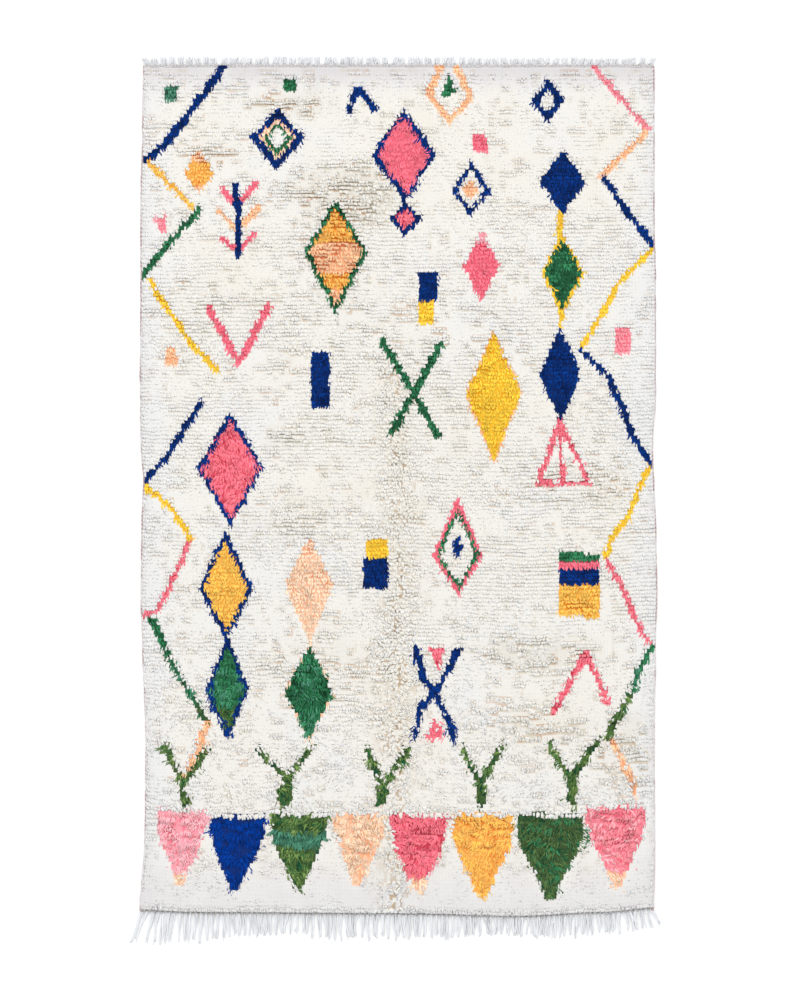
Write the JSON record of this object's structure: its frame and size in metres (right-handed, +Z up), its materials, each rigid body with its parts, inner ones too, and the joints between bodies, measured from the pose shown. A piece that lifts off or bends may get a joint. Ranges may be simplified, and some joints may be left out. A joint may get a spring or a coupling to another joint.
{
  "type": "azilal shag rug",
  "caption": "Rectangular hand-knotted wool shag rug, ivory with bright scattered lozenge, zigzag and pennant motifs and fringed ends; covers and softens a floor.",
  "frame": {"origin": "middle of the flat underside of the knotted body", "axes": "+Y along the rug towards the end with the short fringe, +X across it to the right seen from above, +Z up through the pile"},
  "size_m": [1.5638, 2.6049, 0.0248],
  "materials": {
    "ivory_pile": "undyed hand-spun wool pile, matt, in knotted rows, slightly lumpy",
    "navy_pile": "dyed wool pile, matt",
    "rose_pile": "dyed wool pile, matt, uneven dye",
    "pink_pile": "dyed wool pile, matt, uneven dye",
    "gold_pile": "dyed wool pile, matt",
    "peach_pile": "dyed wool pile, matt, uneven dye",
    "green_pile": "dyed wool pile, matt",
    "olive_pile": "dyed wool pile, matt",
    "wool_ground": "plain-woven wool ground with the backs of the knots showing",
    "warp_fringe": "loosely twisted white warp yarn"
  },
  "bodies": {
    "root": {"pile_body": "ivory_pile", "fringe_top": "warp_fringe", "fringe_bottom": "warp_fringe"}
  },
  "joints": []
}
